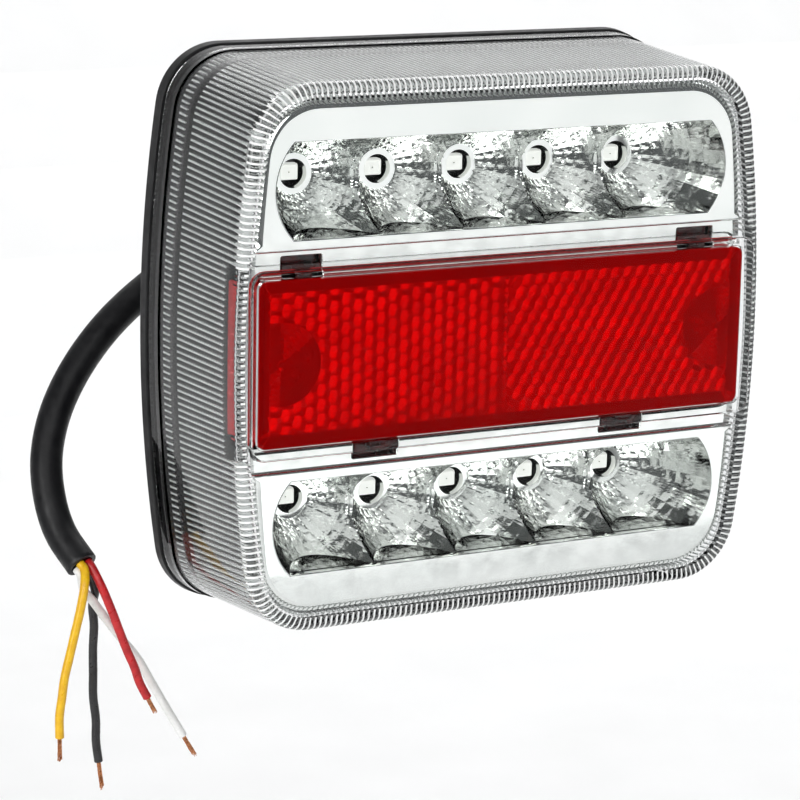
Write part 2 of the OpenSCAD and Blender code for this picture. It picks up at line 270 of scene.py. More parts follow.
def grooved_ring(shell, depth, inset, height, slope, beside_pad=None):
    """Ring of the body with grooves square to a surface that leans slope radians from side to front.
    Beside the pad the ring stays at the inset beside_pad, with no grooves."""
    plain = fluted_loop(depth, inset, 0)
    moved = fluted_loop(depth, inset, 1, GROOVE)
    narrow = fluted_loop(depth, inset if beside_pad is None else beside_pad, 0)
    ring = []
    for p, q, n in zip(plain, moved, narrow):
        if beside_pad is not None and abs(n[1]) < PAD_GUARD and abs(n[0]) > BAND_END:
            p = q = n
        share = math.hypot(q[0] - p[0], q[1] - p[1]) * height
        x = p[0] + (q[0] - p[0]) * height * math.cos(slope)
        z = p[1] + (q[1] - p[1]) * height * math.cos(slope)
        y = share * math.sin(slope) - depth
        ring.append(shell.bm.verts.new((x * MM, y * MM, z * MM)))
    return ring


def rounded_rect(a, b, r, steps=5, spacing=3.0):
    """Rectangle of half sizes a and b with corners of radius r, its straight sides cut at about spacing."""
    corners = [(a - r, b - r, 0), (-a + r, b - r, 90), (-a + r, -b + r, 180), (a - r, -b + r, 270)]
    loop = []
    for cx, cz, start in corners:
        for i in range(steps + 1):
            turn = math.radians(start + 90 * i / steps)
            loop.append(polar(r, turn, cx, cz))
        nx, nz = [(-a + r, b), (-a, -b + r), (a - r, -b), (a, b - r)][start // 90]
        px, pz = loop[-1]
        cuts = max(1, int(math.hypot(nx - px, nz - pz) / spacing))
        for i in range(1, cuts):
            loop.append((px + (nx - px) * i / cuts, pz + (nz - pz) * i / cuts))
    return loop


def circle(x, z, r, sides=48):
    return [polar(r, 2 * math.pi * i / sides, x, z) for i in range(sides)]


def grown(loop, amount):
    """A counter-clockwise loop moved outwards by amount, one number or one for each point."""
    count = len(loop)
    amounts = amount if isinstance(amount, list) else [amount] * count
    out = []
    for i in range(count):
        p, q, s = loop[i - 1], loop[i], loop[(i + 1) % count]
        u = Vector((q[0] - p[0], q[1] - p[1])).normalized()
        v = Vector((s[0] - q[0], s[1] - q[1])).normalized()
        n = Vector((u.y + v.y, -u.x - v.x))
        n.normalize()
        reach = amounts[i] / max(0.4, n.dot(Vector((v.y, -v.x))))
        out.append((q[0] + n.x * reach, q[1] + n.y * reach))
    return out


def is_inside(x, z, loop):
    """Whether a point lies inside a loop, by counting crossings."""
    inside = False
    xj, zj = loop[-1]
    for xi, zi in loop:
        if (zi > z) != (zj > z) and x < (xj - xi) * (z - zi) / (zj - zi) + xi:
            inside = not inside
        xj, zj = xi, zi
    return inside


# ---------------------------------------------------------------- mesh helpers

class Shell:
    """A mesh in the making."""

    def __init__(self):
        self.bm = bmesh.new()

    def ring(self, loop, depth):
        return [self.bm.verts.new((x * MM, -depth * MM, z * MM)) for x, z in loop]

    def bridge(self, one, two, highlight_steps=(), clear_middle=False, highlight_slot=1):
        """Joins two rings; faces of the listed fluted steps take the material of the given number, which
        paints a highlight on them.
        """
        half = 2 * FLUTE_SAMPLES * sum(FLUTES)
        for i in range(len(one)):
            j = (i + 1) % len(one)
            face = self.bm.faces.new((one[i], one[j], two[j], two[i]))
            face.smooth = True
            step = i % half
            if clear_middle and beside_band(one[i].co.x / MM, one[i].co.z / MM):
                continue
            if min(step, half - 1 - step) % FLUTE_SAMPLES in highlight_steps:
                face.material_index = highlight_slot

    def loft(self, rings, closed=False):
        for one, two in zip(rings, rings[1:]):
            self.bridge(one, two)
        if closed:
            self.bridge(rings[-1], rings[0])

    def stack(self, rows, closed=False):
        """Rings from (loop, depth) pairs, joined in order."""
        rings = [self.ring(loop, depth) for loop, depth in rows]
        self.loft(rings, closed)
        return rings

    def cap(self, ring):
        self.bm.faces.new(ring)

    def fill(self, outer, holes=()):
        """Triangles between a flat outer ring and the rings of its holes."""
        loops = [outer] + list(holes)
        flat = [[(v.co.x / MM, v.co.z / MM) for v in loop] for loop in loops]
        verts = [v for loop in loops for v in loop]
        edges = []
        start = 0
        for loop in loops:
            count = len(loop)
            edges += [(start + i, start + (i + 1) % count) for i in range(count)]
            start += count
        points = [Vector(p) for loop in flat for p in loop]
        result = geometry.delaunay_2d_cdt(points, edges, [], 0, 1e-7)
        places, triangles, origins = result[0], result[2], result[3]
        for triangle in triangles:
            x = sum(places[i].x for i in triangle) / 3
            z = sum(places[i].y for i in triangle) / 3
            if is_inside(x, z, flat[0]) and not any(is_inside(x, z, hole) for hole in flat[1:]):
                self.bm.faces.new([verts[origins[i][0]] for i in triangle]).smooth = False

    def solid(self, loop, near, far, holes=(), soften=0.0, hole_soften=0.0, steps=3):
        """A plate between two depths with rounded front edges and holes right through."""
        back = self.ring(loop, near)
        inward = [-r for r in soften] if isinstance(soften, list) else -soften
        fronts = self.edge_rings(loop, far, inward, steps)
        self.loft([back] + fronts)
        backs, mouths = [], []
        for hole in holes:
            inner = self.ring(hole, near)
            rims = self.edge_rings(hole, far, hole_soften, steps)
            self.loft([inner] + rims)
            backs.append(inner)
            mouths.append(rims[-1])
        self.fill(back, backs)
        self.fill(fronts[-1], mouths)

    def edge_rings(self, loop, far, soften, steps):
        """Rings of a rounded front edge; soften is its radius, one number or one for each point."""
        if soften == 0:
            return [self.ring(loop, far)]
        radii = soften if isinstance(soften, list) else [soften] * len(loop)
        rings = []
        for inset, drop in rounding(steps):
            moved = grown(loop, [r * inset for r in radii])
            rings.append([self.bm.verts.new((x * MM, (abs(r) * drop - far) * MM, z * MM))
                          for (x, z), r in zip(moved, radii)])
        return rings

    def revolve(self, x, z, profile, sides=48, closed=True):
        """Turns (radius, depth) points about the depth axis through (x, z)."""
        rings = [self.ring(circle(x, z, r, sides), depth) for r, depth in profile]
        self.loft(rings, closed)
        return rings

    def link(self, name, *materials, smooth=35, outward=True):
        """Ends the mesh as an object; faces made flat stay flat when edges sharper than smooth are marked."""
        if outward:
            bmesh.ops.recalc_face_normals(self.bm, faces=self.bm.faces)
        mesh = bpy.data.meshes.new(name)
        self.bm.to_mesh(mesh)
        self.bm.free()
        for material in materials:
            mesh.materials.append(material)
        obj = bpy.data.objects.new(name, mesh)
        bpy.context.scene.collection.objects.link(obj)
        flat = [polygon.index for polygon in mesh.polygons if not polygon.use_smooth]
        mesh.set_sharp_from_angle(angle=math.radians(smooth))
        for index in flat:
            mesh.polygons[index].use_smooth = False
        return obj


def ride_for(obj, slot, *nodes):
    """The piece rides on the lamp and stands for nodes, whose CAD parts it hides; slot is not used."""
    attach(obj, "root")
    if nodes:
        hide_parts(*nodes)
    return obj


def smooth_path(points, steps):
    """Catmull-Rom curve through points given as (x, y, z)."""
    points = [Vector(p) for p in points]
    ends = [2 * points[0] - points[1]] + points + [2 * points[-1] - points[-2]]
    path = []
    for i in range(1, len(ends) - 2):
        a, b, c, d = ends[i - 1:i + 3]
        for k in range(steps):
            t = k / steps
            path.append(0.5 * (2 * b + (c - a) * t + (2 * a - 5 * b + 4 * c - d) * t * t
                               + (3 * b - a - 3 * c + d) * t ** 3))
    path.append(points[-1])
    return path


def sweep(shell, path, profile, sides):
    """Tube along path; profile gives (share of the way, radius) of each ring and may fold back inside."""
    reach = [0.0]
    for a, b in zip(path, path[1:]):
        reach.append(reach[-1] + (b - a).length)
    along = Vector((1, 0, 0))
    frames = []
    for i, point in enumerate(path):
        heading = (path[min(i + 1, len(path) - 1)] - path[max(i - 1, 0)]).normalized()
        along = (along - along.dot(heading) * heading).normalized()
        frames.append((point, along.copy(), heading.cross(along)))
    rings = []
    for spot, radius in profile:
        target = spot * reach[-1]
        k = 0
        while k < len(reach) - 2 and reach[k + 1] < target:
            k += 1
        share = (target - reach[k]) / (reach[k + 1] - reach[k])
        centre = frames[k][0].lerp(frames[k + 1][0], share)
        u = frames[k][1].lerp(frames[k + 1][1], share).normalized()
        v = frames[k][2].lerp(frames[k + 1][2], share).normalized()
        across = circle(0, 0, radius, sides)
        rings.append([shell.bm.verts.new((centre + p * u + q * v) * MM) for p, q in across])
    shell.loft(rings)
    shell.cap(rings[0])
    shell.cap(rings[-1])


# ---------------------------------------------------------------- material helpers

class Finish:
    """A node material around one Principled shader, with its textures in the frame's metres."""

    def __init__(self, name, colour, roughness, **sockets):
        self.material = bpy.data.materials.new(name)
        self.material.use_nodes = True
        self.tree = self.material.node_tree
        self.shader = self.tree.nodes["Principled BSDF"]
        self.shader.inputs["Base Color"].default_value = (*colour, 1)
        self.shader.inputs["Roughness"].default_value = roughness
        for key, value in sockets.items():
            self.shader.inputs[key.replace("_", " ")].default_value = value
        self.place = self.tree.nodes.new("ShaderNodeTexCoord").outputs["Object"]

    def node(self, kind, **values):
        made = self.tree.nodes.new(kind)
        for key, value in values.items():
            setattr(made, key, value)
        return made

    def join(self, source, target):
        self.tree.links.new(source, target)

    def noise(self, size, detail):
        """Noise whose marks are about size across, in millimetres."""
        noise = self.node("ShaderNodeTexNoise")
        noise.inputs["Scale"].default_value = 1 / (size * MM)
        noise.inputs["Detail"].default_value = detail
        self.join(self.place, noise.inputs["Vector"])
        return noise.outputs["Fac"]

    def spread(self, source, low, high, start=0.3, end=0.7):
        """Source from start to end as a value from low to high."""
        span = self.node("ShaderNodeMapRange")
        for key, value in (("From Min", start), ("From Max", end), ("To Min", low), ("To Max", high)):
            span.inputs[key].default_value = value
        self.join(source, span.inputs["Value"])
        return span.outputs["Result"]

    def tint(self, source, low, high, start=0.3, end=0.7):
        """Base colour between two colours, by source."""
        ramp = self.node("ShaderNodeValToRGB")
        for element, position, colour in zip(ramp.color_ramp.elements, (start, end), (low, high)):
            element.position = position
            element.color = (*colour, 1)
        self.join(source, ramp.inputs["Fac"])
        self.join(ramp.outputs["Color"], self.shader.inputs["Base Color"])

    def rough(self, source, low, high):
        self.join(self.spread(source, low, high), self.shader.inputs["Roughness"])

    def bump(self, source, depth, strength=1.0):
        """Relief of depth millimetres."""
        bump = self.node("ShaderNodeBump")
        bump.inputs["Strength"].default_value = strength
        bump.inputs["Distance"].default_value = depth * MM
        self.join(source, bump.inputs["Height"])
        self.join(bump.outputs["Normal"], self.shader.inputs["Normal"])

    def edges(self):
        """Worn edges: 0 on flat areas to 1 on convex edges."""
        return self.spread(self.node("ShaderNodeNewGeometry").outputs["Pointiness"], 0, 1, 0.5, 0.56)


def grey(level):
    return level, level, level


def mottled(name, colour, roughness, tint=None, rough=None, bump=None, **sockets):
    """Material whose colour, roughness and relief follow noise, each given as (size, detail, values)."""
    finish = Finish(name, colour, roughness, **sockets)
    for change, given in ((finish.tint, tint), (finish.rough, rough), (finish.bump, bump)):
        if given:
            size, detail, *values = given
            change(finish.noise(size, detail), *values)
    return finish.material


def paper_material():
    return mottled("backdrop_paper", grey(0.9), 0.8, (60, 2, grey(0.89), grey(0.92)), None, (2, 2, 0.02))


def clear_material():
    """Clear moulded plastic with faint haze and flow marks."""
    return mottled("clear_plastic", (0.97, 0.98, 0.98), 0.015, None, (9, 3, 0.005, 0.03), (14, 1, 0.01, 0.5),
                   Transmission_Weight=1.0, IOR=PLASTIC_IOR, Specular_Tint=(*grey(0.02), 1))


def flute_highlight_material():
    """Painted highlight: matt, near-white crests of the flutes, standing in for highlights on the clear
    flutes.
    """
    return mottled("clear_plastic_flute_highlight", (0.95, 0.97, 0.96), 0.4, None, (2, 3, 0.25, 0.45), (0.5, 2, 0.01),
                   Transmission_Weight=0.06, IOR=PLASTIC_IOR, Specular_Tint=(*grey(0.3), 1))


def edge_highlight_material():
    """Painted highlight: matt, near-white crests of the front edge, standing in for highlights on its clear
    grooves.
    """
    return mottled("clear_plastic_edge_highlight", (0.97, 0.98, 0.97), 0.4, None, (2, 3, 0.3, 0.5), (0.5, 2, 0.01),
                   Transmission_Weight=0.12, IOR=PLASTIC_IOR, Specular_Tint=(*grey(0.3), 1))


def red_material():
    """Transparent red plastic, with a faint painted red glow (emission), though it is no lamp."""
    return mottled("red_plastic", (0.19, 0.0002, 0.0003), 0.02,
                   (6, 3, (0.13, 0.0001, 0.0002), (0.24, 0.0002, 0.0003)), (4, 2, 0.01, 0.05),
                   Transmission_Weight=0.9, IOR=PLASTIC_IOR, Specular_Tint=(*grey(0.01), 1),
                   Specular_IOR_Level=0.05, Emission_Color=(1, 0.001, 0.002, 1), Emission_Strength=0.12)


def plate_material():
    """The insert's end plates: a painted lit copy of the red plastic, far brighter red, for the light they
    catch through the cover's side.
    """
    return mottled("red_plastic_plates_painted_light", (0.8, 0.006, 0.012), 0.2,
                   (3, 3, (0.66, 0.003, 0.006), (0.9, 0.01, 0.018)), (1.5, 2, 0.12, 0.3), (1, 2, 0.01),
                   Transmission_Weight=0.2, IOR=PLASTIC_IOR)


def shaded_red_material():
    """Painted shade: an opaque, near-black copy of the red plastic for the snap hooks, standing in for the
    shade in their slots.
    """
    return mottled("red_plastic_painted_shade", (0.03, 0.002, 0.002), 0.12,
                   (3, 3, (0.012, 0.001, 0.001), (0.09, 0.004, 0.004)), (1.5, 2, 0.06, 0.2), (1, 2, 0.02),
                   IOR=PLASTIC_IOR)


def chrome_material():
    """Vacuum-metallised plastic with a faint orange peel."""
    return mottled("metallised_plastic", (0.86, 0.88, 0.86), 0.07,
                   (12, 2, (0.83, 0.85, 0.83), (0.9, 0.91, 0.89)), (3, 2, 0.04, 0.1), (1.6, 2, 0.004, 0.5),
                   Metallic=1.0)


def skirt_material():
    """Dark unplated inside of the bezel moulding."""
    return mottled("skirt_plastic", (0.008, 0.009, 0.008), 0.45,
                   (8, 3, (0.005, 0.006, 0.005), (0.012, 0.014, 0.013)), (1.5, 2, 0.32, 0.5),
                   (0.4, 2, 0.01, 0.5), Specular_IOR_Level=0.15)


def housing_material():
    """Dark grey moulded plastic, lightly textured, paler where its edges are rubbed."""
    finish = Finish("housing_plastic", grey(0.012), 0.45, Specular_IOR_Level=0.15)
    mix = finish.node("ShaderNodeMath", operation="MULTIPLY_ADD")
    finish.join(finish.edges(), mix.inputs[0])
    mix.inputs[1].default_value = 0.35
    finish.join(finish.noise(5, 4), mix.inputs[2])
    finish.tint(mix.outputs["Value"], grey(0.007), (0.02, 0.02, 0.021), 0.35, 0.95)
    finish.rough(finish.noise(2, 3), 0.34, 0.52)
    finish.bump(finish.noise(0.35, 3), 0.015, 0.6)
    return finish.material


def seal_material():
    return mottled("seal_rubber", grey(0.012), 0.6, (3, 3, grey(0.008), (0.02, 0.02, 0.021)),
                   (1, 2, 0.5, 0.7), (0.3, 2, 0.01))


def grommet_material():
    return mottled("grommet_rubber", (0.016, 0.016, 0.017), 0.62, (2.5, 3, grey(0.012), (0.03, 0.03, 0.031)),
                   (1, 2, 0.52, 0.74), (0.25, 2, 0.012))


def sheath_material():
    """Black PVC cable sheath: satin, with rubbed grey marks along it."""
    return mottled("sheath_pvc", (0.006, 0.006, 0.007), 0.42,
                   (3.5, 4, (0.004, 0.004, 0.005), (0.012, 0.012, 0.013), 0.4, 0.8), (1.4, 3, 0.32, 0.55),
                   (0.6, 3, 0.02, 0.6), Specular_IOR_Level=0.3)


def core_material(name, dark, light):
    """Thin PVC insulation over a twisted conductor."""
    return mottled(name, light, 0.34, (1.6, 3, dark, light), (0.7, 2, 0.25, 0.45), (0.35, 2, 0.015, 0.7))


def copper_material():
    return mottled("copper_strand", (0.62, 0.27, 0.12), 0.3, (0.6, 3, (0.42, 0.15, 0.06), (0.8, 0.4, 0.2)),
                   (0.3, 2, 0.2, 0.45), (0.12, 1, 0.004), Metallic=1.0)


def laminate_material():
    """Black solder mask with a faint glass-weave relief."""
    finish = Finish("circuit_laminate", (0.012, 0.013, 0.013), 0.35)
    finish.tint(finish.noise(4, 3), (0.01, 0.011, 0.011), (0.02, 0.022, 0.022))
    weave = finish.node("ShaderNodeTexWave")
    weave.inputs["Scale"].default_value = 600
    finish.join(finish.place, weave.inputs["Vector"])
    finish.rough(finish.noise(2, 2), 0.28, 0.42)
    finish.bump(weave.outputs["Fac"], 0.006)
    return finish.material


def package_material():
    """White reflective plastic of the light sources, with a painted glow (emission) though they are not lit.
    """
    return mottled("led_package", (0.86, 0.84, 0.8), 0.4, (0.8, 2, (0.84, 0.83, 0.79), (0.92, 0.91, 0.89)),
                   (0.4, 2, 0.3, 0.5), (0.15, 1, 0.004), Emission_Color=(0.95, 0.98, 0.93, 1),
                   Emission_Strength=0.65)


def chip_material():
    """The dark mark of the die under the light source's resin."""
    return mottled("led_chip", (0.05, 0.035, 0.025), 0.3, (0.1, 1, (0.03, 0.02, 0.015), (0.09, 0.06, 0.04)),
                   None, (0.05, 1, 0.002))


def ceramic_material():
    return mottled("chip_ceramic", (0.02, 0.02, 0.022), 0.4,
                   (0.7, 3, (0.012, 0.012, 0.014), (0.045, 0.045, 0.048)),
                   (0.4, 2, 0.3, 0.55), (0.2, 2, 0.01))


def diode_material():
    return mottled("diode_body", (0.028, 0.028, 0.03), 0.5,
                   (0.9, 3, (0.02, 0.02, 0.022), (0.05, 0.05, 0.052)), (0.5, 2, 0.42, 0.62), (0.15, 2, 0.01))


def zinc_material():
    """Bright zinc plating with a slight blue and yellow cast and dull patches."""
    return mottled("zinc_steel", (0.6, 0.61, 0.62), 0.3, (2.2, 4, (0.5, 0.52, 0.55), (0.72, 0.71, 0.66)),
                   (0.8, 3, 0.2, 0.42), (0.25, 2, 0.008), Metallic=1.0)


def solder_material():
    return mottled("solder", (0.66, 0.66, 0.65), 0.25, (0.6, 3, (0.5, 0.5, 0.49), (0.78, 0.78, 0.77)),
                   (0.3, 2, 0.16, 0.38), (0.2, 2, 0.01), Metallic=1.0)


# ---------------------------------------------------------------- cable

SHEATH_D = 5.8
CORE_D = 1.6
SHEATH_ROUTE = [
    (0, -4, 16), (0, 2, 16), (0, 8, 16), (-1.5, 16.5, 15.5), (-6, 24, 14), (-13.5, 29.5, 11.5),
    (-22, 32, 8), (-30.5, 32.5, 4), (-38.5, 31.5, -0.5), (-46, 30, -6), (-52.5, 28, -12.5),
    (-57.5, 25.5, -19.5), (-60.5, 22.5, -26.5), (-61.5, 19, -33), (-61, 15, -39), (-59, 9.5, -44),
]
SHEATH_TIP = Vector((-59, 9.5, -44))
SHEATH_OUT = Vector((0.4, -1.1, -1))
CORES = {
    "yellow": ((-0.7, -0.8, 0.6), 32.3, 4.5, [
        (-60, 6, -47), (-61, 5.5, -51), (-62, 5.5, -55), (-63, 5.5, -59), (-64, 5.5, -63),
        (-64.5, 5.5, -66.5), (-65, 5.5, -70), (-65, 5.5, -74)]),
    "red": ((0.95, -0.3, 0.7), 30, 3.5, [
        (-56.5, 6.5, -47.5), (-55, 6, -51.5), (-53.5, 6, -55.5), (-52, 6, -59.5), (-50.5, 6, -63),
        (-49.5, 6, -66), (-48, 6, -69)]),
    "white": ((-0.95, 0.3, -0.7), 40.8, 5, [
        (-59.5, 7.5, -48), (-57.5, 8, -50.5), (-55, 8.5, -54), (-52, 9, -58), (-48.5, 9.5, -62.5),
        (-46, 9.5, -67), (-43.5, 9.5, -71.5), (-41.5, 9.5, -75), (-39.5, 9.5, -78.5)]),
    "black": ((0.7, 0.8, -0.6), 39, 5.5, [
        (-57, 8.5, -48.5), (-56.5, 11, -52), (-56, 11.5, -56), (-56, 12, -60.5), (-56, 12, -65),
        (-56, 12, -69.5), (-55.5, 12, -74), (-55.5, 12, -78), (-55, 12, -82)]),
}
CORE_COLOURS = {
    "yellow": ((0.72, 0.38, 0.005), (0.85, 0.52, 0.012)),
    "red": ((0.36, 0.006, 0.01), (0.55, 0.014, 0.018)),
    "white": ((0.72, 0.72, 0.7), (0.85, 0.85, 0.84)),
    "black": ((0.008, 0.008, 0.009), (0.02, 0.02, 0.022)),
}


def make_sheath():
    """Sheath with a cut end: the jacket's wall shows, with the cores inside."""
    path = smooth_path(SHEATH_ROUTE, 8)
    shell = Shell()
    radius = SHEATH_D / 2
    rings = 150
    profile = [(i / rings, radius) for i in range(rings)]
    profile += [(0.9985, radius), (0.9995, radius - 0.06), (1, radius - 0.2), (1, radius - 0.75)]
    profile += [(0.9985, radius - 0.85), (0.985, radius - 0.85)]
    sweep(shell, path, profile, 32)
    obj = ride_for(shell.link("cable_sheath_skin", sheath_material()), "sheath_pvc", "cable_sheath")


def core_points(colour):
    start = SHEATH_TIP + Vector(CORES[colour][0])
    return [start, start + SHEATH_OUT] + [Vector(p) for p in CORES[colour][3]]


def make_core(colour):
    """One insulated core: slightly uneven, with a cut end round its conductor."""
    path = smooth_path(core_points(colour), 8)
    shell = Shell()
    radius = CORE_D / 2
    rings = 90
    profile = [(i / rings, radius * (1 - 0.02 * RNG.random())) for i in range(rings)]
    profile += [(0.997, radius), (0.999, radius - 0.05), (1, radius - 0.14), (1, radius - 0.32)]
    profile += [(0.997, radius - 0.38)]
    sweep(shell, path, profile, 20)
    dark, light = CORE_COLOURS[colour]
    slot = f"core_{colour}_pvc"
    obj = ride_for(shell.link(f"core_{colour}_skin", core_material(slot, dark, light)), slot,
                   f"core_{colour}")


def make_strands():
    """Stripped conductors: a bundle of fine wires at each core's end, lightly twisted."""
    shell = Shell()
    for colour in CORES:
        points = core_points(colour)
        heading = (points[-1] - points[-2]).normalized()
        side = heading.cross(Vector((0, 1, 0))).normalized()
        other = heading.cross(side)
        length = CORES[colour][2]
        places = [(0.0, 0.0)]
        places += [(0.2, 60 * i) for i in range(6)]
        places += [(0.33, 40 * i + 20) for i in range(9)]
        for radius, turn in places:
            own = length * RNG.uniform(0.84, 1)
            loose = RNG.uniform(0.9, 1.15)
            route = []
            for i in range(9):
                share = i / 8
                angle = math.radians(turn + 130 * share)
                reach = radius * (1 + (loose - 0.9) * share)
                route.append(points[-1] + heading * (own * share - 0.6 * (1 - share))
                             + side * reach * math.cos(angle) + other * reach * math.sin(angle))
            sweep(shell, route, [(0, 0.065), (0.25, 0.065), (0.5, 0.065), (0.75, 0.065), (1, 0.06)], 6)
    return ride_for(shell.link("bare_strand_wires", copper_material()), "copper_strand", "bare_strands")


# ---------------------------------------------------------------- lens

# Depths along the cover's wall
FLANGE_BACK = 3.3
RIB_START = 12.6
RIB_END = 29.8
WALL_END = 33.6
INSIDE_END = 35.1

# Rounding of its front edge, how far its inside lies behind its outside, and the height of its relief
EDGE_R = 1.3
WALL = 2.1
FLUTE = 0.3
BEAD = 0.35

# Corner and rounding of the pad
PAD_R = 2.5
PAD_EDGE = 0.4


def lens_outside(shell):
    """Outer surface from the flange to the front face; returns its first and last ring."""
    rows = [(FLANGE_BACK, 0.5), (3.45, 0.3), (6.85, 0.3), (FLANGE_D, 0.45), (7.1, 0.6)]
    rows += [(7.1 + (WALL_END - 7.1) * i / 5, 0.6 * (1 - i / 5.3)) for i in range(1, 6)]
    rings = [shell.ring(fluted_loop(depth, inset, 0), depth) for depth, inset in rows]
    dash_start = len(rings) + 1
    edge = [(34.2, 0.03, 0, 0.5), (34.8, 0.01, 0, 1)]
    for i in range(8):
        turn = math.pi / 2 * i / 7
        edge.append((LAMP_D - EDGE_R * (1 - math.sin(turn)), EDGE_R * (1 - math.cos(turn)), turn, 1))
    for depth, inset, slope, share in edge:
        rings.append(grooved_ring(shell, depth, inset, GROOVE_H * share, slope))
    for inset, share, beside in ((1.75, 1, 1.35), (2.1, 0.8, 1.4), (2.3, 0, 1.45)):
        rings.append(grooved_ring(shell, LAMP_D, inset, GROOVE_H * share, math.pi / 2, beside))
    for i, (one, two) in enumerate(zip(rings, rings[1:])):
        # Crests of the front edge's grooves take the painted highlight material (number 2).
        shell.bridge(one, two, CRESTS if i >= dash_start else (), clear_middle=i < dash_start + 6, highlight_slot=2)
    return rings[0], rings[-1]


def lens_inside(shell):
    """Inner surface: plain rim, row of beads, plain band, then flutes; returns its first and last ring."""
    rim = [(FLANGE_BACK, 1.9, 0), (3.5, WALL, 0), (FLANGE_D, WALL, 0)]
    beads = [(7.15, WALL, FLUTE), (8.5, WALL, BEAD), (9.9, WALL, FLUTE)]
    band = [(10.05, WALL, 0), (12.4, WALL, 0)]
    ribs = [(RIB_START + (RIB_END - RIB_START) * i / 5, WALL + 0.08 * i / 5, FLUTE) for i in range(6)]
    rows = rim + beads + band + ribs
    rings = [shell.ring(fluted_loop(depth, inset, height), depth) for depth, inset, height in rows]
    for depth, inset, height in ((30, 2.18, FLUTE), (34.2, 2.2, FLUTE), (34.65, 2.3, FLUTE),
                                 (34.95, 2.55, 0.2), (INSIDE_END, 3, 0)):
        rings.append(shell.ring(fluted_loop(depth, inset, height, smooth_middle=True), depth))
    bead_row = (len(rim), len(rim) + 1)
    rib_row = len(rows) - len(ribs)
    for i, (one, two) in enumerate(zip(rings, rings[1:])):
        # Bead and rib crests take the painted highlight material.
        highlight_steps = CRESTS if i in bead_row or i >= rib_row else ()
        shell.bridge(one, two, highlight_steps, clear_middle=i >= len(rows) - 1)
    return rings[0], rings[-1]


def make_lens():
    """Clear cover as one closed solid: flange, drafted walls with inner flutes, front face and pad."""
    shell = Shell()
    outer_back, outer_front = lens_outside(shell)
    inner_back, inner_front = lens_inside(shell)
    shell.bridge(outer_back, inner_back)
    pad_a = SLAB_A + 1.8
    pad_b = SLAB_B + 1.8
    rows = [(rounded_rect(pad_a + 0.15, pad_b + 0.15, PAD_R + 0.15), LAMP_D),
            (rounded_rect(pad_a, pad_b, PAD_R), LAMP_D + 0.15),
            (rounded_rect(pad_a, pad_b, PAD_R), PAD_FRONT - PAD_EDGE)]
    for across, drop in rounding(3, 1):
        inset = PAD_EDGE * across
        rows.append((rounded_rect(pad_a - inset, pad_b - inset, PAD_R - inset), PAD_FRONT - PAD_EDGE * drop))
    pad = shell.stack(rows)
    shell.fill(outer_front, [pad[0]])
    shell.fill(pad[-1])
    pocket_loop = rounded_rect(SLAB_A + 0.3, SLAB_B + 0.3, 1.5)
    pocket = shell.stack([(pocket_loop, INNER_FACE), (pocket_loop, PAD_FRONT - LENS_T)])
    shell.fill(inner_front, [pocket[0]])
    shell.fill(pocket[-1])
    obj = shell.link("lens_moulding", clear_material(), flute_highlight_material(), edge_highlight_material(), smooth=28)
    ride_for(obj, "clear_plastic", "outer_lens")


# ---------------------------------------------------------------- red reflector

CELL = 2.5
CELL_SIDE = CELL / math.sqrt(3)
COLUMN = CELL * math.sqrt(3) / 2
FIELD_A = SLAB_A - 2
FIELD_B = SLAB_B - 2
SLAB_BACK = CHANNEL_D + 0.06
RIM_D = SLAB_BACK + 0.02 + CELL_SIDE * math.sqrt(2)
DISC_X = 42.2
DISC_R = 7
RING_PITCH = 1.0
GAP = 0.03


def cell_centres(upright):
    """Centres of the prism cells, staggered column by column, or row by row if not upright."""
    centres = []
    for i in range(-24, 25):
        for j in range(-24, 25):
            p = i * COLUMN
            q = (j + (i % 2) / 2) * CELL
            if abs(p) < SLAB_A and abs(q) < SLAB_A:
                centres.append((p, q) if upright else (q, p))
    return centres


def cube_depth(x, z):
    """Depth of the corner-cube surface: three faces rise from each cell's centre."""
    upright = x < 0
    p, q = (x, z) if upright else (z, x)
    first = math.floor(p / COLUMN)
    nearby = []
    for i in (first, first + 1):
        shift = (i % 2) / 2
        nearby.append((p - i * COLUMN, q - (round(q / CELL - shift) + shift) * CELL))
    dp, dq = min(nearby, key=lambda away: math.hypot(*away))
    faces = [polar(1, math.radians(turn)) for turn in (60, 180, 300)]
    rise = max(dp * fp + dq * fq for fp, fq in faces)
    return SLAB_BACK + 0.02 + math.sqrt(2) * rise


def back_depth(x, z):
    """Depth of the slab's back: plain border, ring lenses and prism field."""
    if abs(x) > FIELD_A - GAP or abs(z) > FIELD_B - GAP:
        return SLAB_BACK
    r = math.hypot(abs(x) - DISC_X, z)
    if r < DISC_R:
        share = (r / RING_PITCH) % 1
        return RIM_D - 0.9 + RING_PITCH * abs(share - 0.5)
    return cube_depth(x, z)


def in_field(x, z, side):
    """Whether a point lies in the prism field's left (-1) or right (1) half."""
    return (side * x > GAP and abs(x) < FIELD_A - 2 * GAP and abs(z) < FIELD_B - 2 * GAP
            and math.hypot(abs(x) - DISC_X, z) > DISC_R + GAP)


def clipped(a, b, side):
    """The part of a line that lies in one half of the prism field, or None."""
    ends = [in_field(*a, side), in_field(*b, side)]
    if all(ends):
        return a, b
    if not any(ends):
        return None
    if ends[1]:
        a, b = b, a
    low, high = 0.0, 1.0
    for _ in range(24):
        middle = (low + high) / 2
        if in_field(*between(a, b, middle), side):
            low = middle
        else:
            high = middle
    return a, between(a, b, low)


